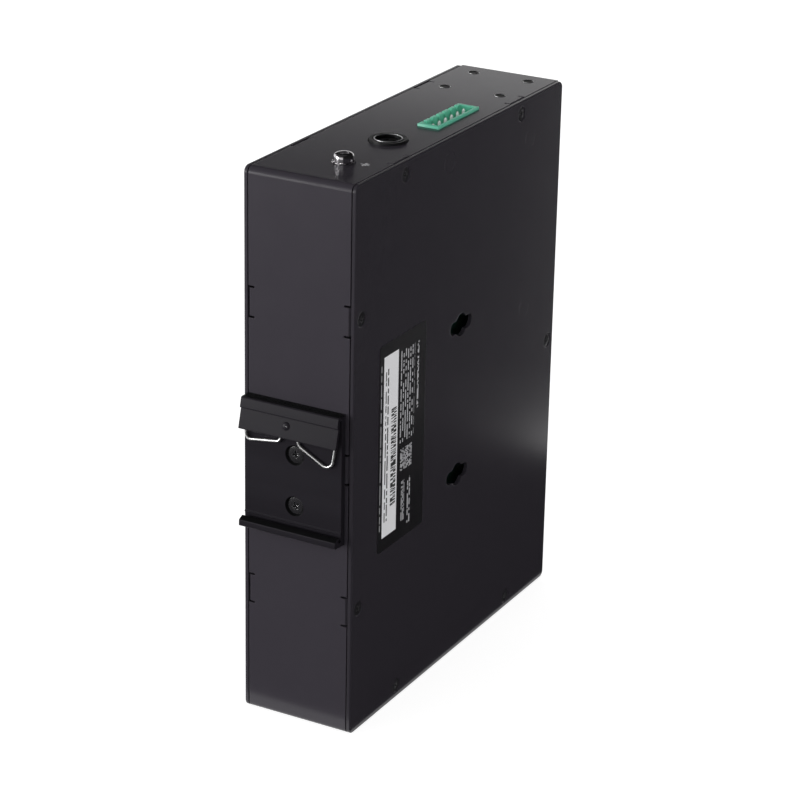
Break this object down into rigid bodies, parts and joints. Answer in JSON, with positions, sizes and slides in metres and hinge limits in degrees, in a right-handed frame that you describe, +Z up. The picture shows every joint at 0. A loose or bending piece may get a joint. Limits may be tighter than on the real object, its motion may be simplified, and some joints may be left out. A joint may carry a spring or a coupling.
{
  "type": "din rail ethernet switch",
  "caption": "Slim folded-metal industrial network switch with a sprung rail clip on its back, ports on its front and a ground screw, power jack and terminal header on top.",
  "frame": {"origin": "under the middle of the whole object, on the plane it stands on", "axes": "+Z up along the case's height; -Y out of the back with the rail clip, +Y out of the ports; +X towards the cover with the sticker and keyholes"},
  "size_m": [0.0366, 0.1347, 0.1729],
  "materials": {
    "case": "black fine powder coat, satin",
    "case_screws": "blackened steel",
    "clip": "black anodised extrusion",
    "spring": "bright spring wire",
    "ground": "nickel plate",
    "label": "black film with a plain white field",
    "board": "green solder mask",
    "posts": "zinc plate",
    "shield": "bright tin and nickel plate",
    "insert": "black moulded plastic",
    "contacts": "gold flash",
    "lens": "clear to milky lens",
    "header": "green moulded polyamide",
    "chips": "black moulding compound",
    "pad": "soft silicone",
    "sink": "black anodised",
    "cans": "drawn can",
    "relay": "cream moulding",
    "surge": "blue dipped coating",
    "choke": "coated ferrite"
  },
  "bodies": {
    "root": {"chassis": "case", "front_panel": "case", "right_cover": "case", "left_cover": "case", "right_cover_screws": "case_screws", "left_cover_screws": "case_screws", "din_clip_screws": "case_screws", "din_clip": "clip", "din_clip_spring": "spring", "ground_screw": "ground", "ground_washer": "ground", "ground_nut": "ground", "rating_label": "label", "main_board": "board", "board_posts": "posts", "board_screws": "posts", "jack_shield_1": "shield", "jack_shield_2": "shield", "jack_shield_3": "shield", "jack_shield_4": "shield", "sfp_cage": "shield", "power_jack_shell": "shield", "jack_insert_1": "insert", "jack_insert_2": "insert", "jack_insert_3": "insert", "jack_insert_4": "insert", "sfp_connector": "insert", "power_jack_body": "insert", "jack_contacts_1": "contacts", "jack_contacts_2": "contacts", "jack_contacts_3": "contacts", "jack_contacts_4": "contacts", "power_jack_contacts": "contacts", "terminal_pins": "contacts", "jack_lenses": "lens", "status_light_guide": "lens", "terminal_header": "header", "switch_chip": "chips", "poe_chips": "chips", "lan_transformers": "chips", "flash_chip": "chips", "power_transistors": "chips", "power_inductors": "chips", "thermal_pad": "pad", "heat_sink": "sink", "bulk_capacitors": "cans", "clock_crystal": "cans", "alarm_relay": "relay", "input_fuse": "relay", "surge_disc": "surge", "line_choke": "choke"}
  },
  "joints": []
}
